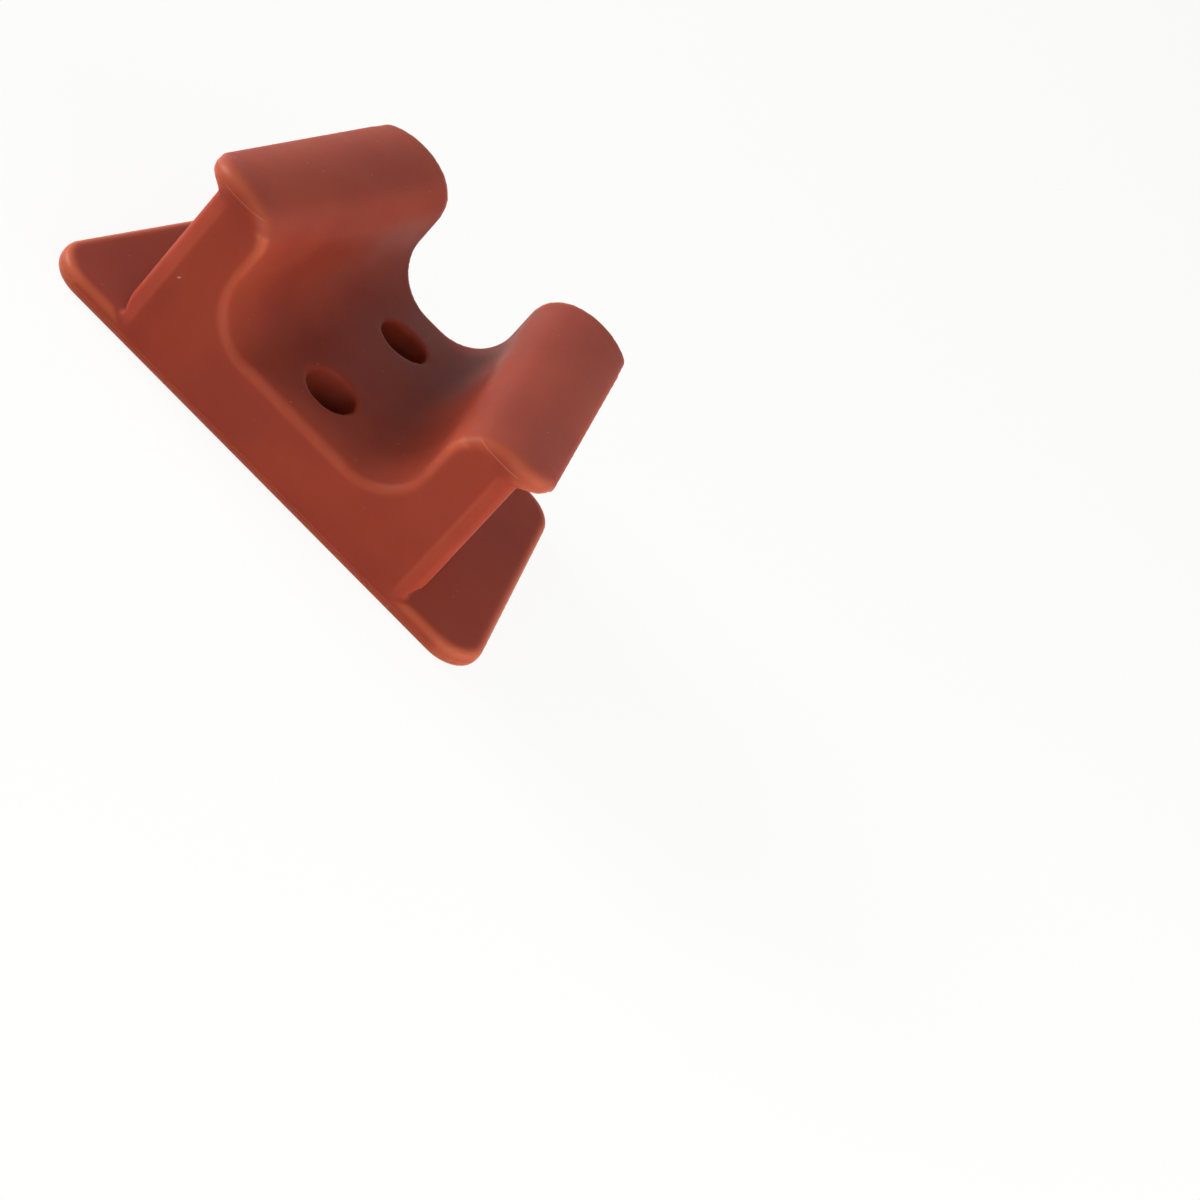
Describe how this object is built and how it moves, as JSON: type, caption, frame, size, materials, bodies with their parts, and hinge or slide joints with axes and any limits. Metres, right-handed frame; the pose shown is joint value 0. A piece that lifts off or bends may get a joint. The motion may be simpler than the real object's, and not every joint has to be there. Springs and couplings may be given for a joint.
{
  "type": "dental mouth prop",
  "caption": "Soft tapered bite block with ridged sides, lipped arms beside a rounded saddle and a guard plate; holds a patient's jaws open.",
  "frame": {"origin": "under the middle of the guard plate, on its outer face", "axes": "+X across the bite, +Y from the wide end to the narrow end, +Z from the guard plate to the lips"},
  "size_m": [0.0444, 0.026, 0.0175],
  "materials": {
    "silicone": "satin"
  },
  "bodies": {
    "root": {"mouth_prop": "silicone"}
  },
  "joints": []
}
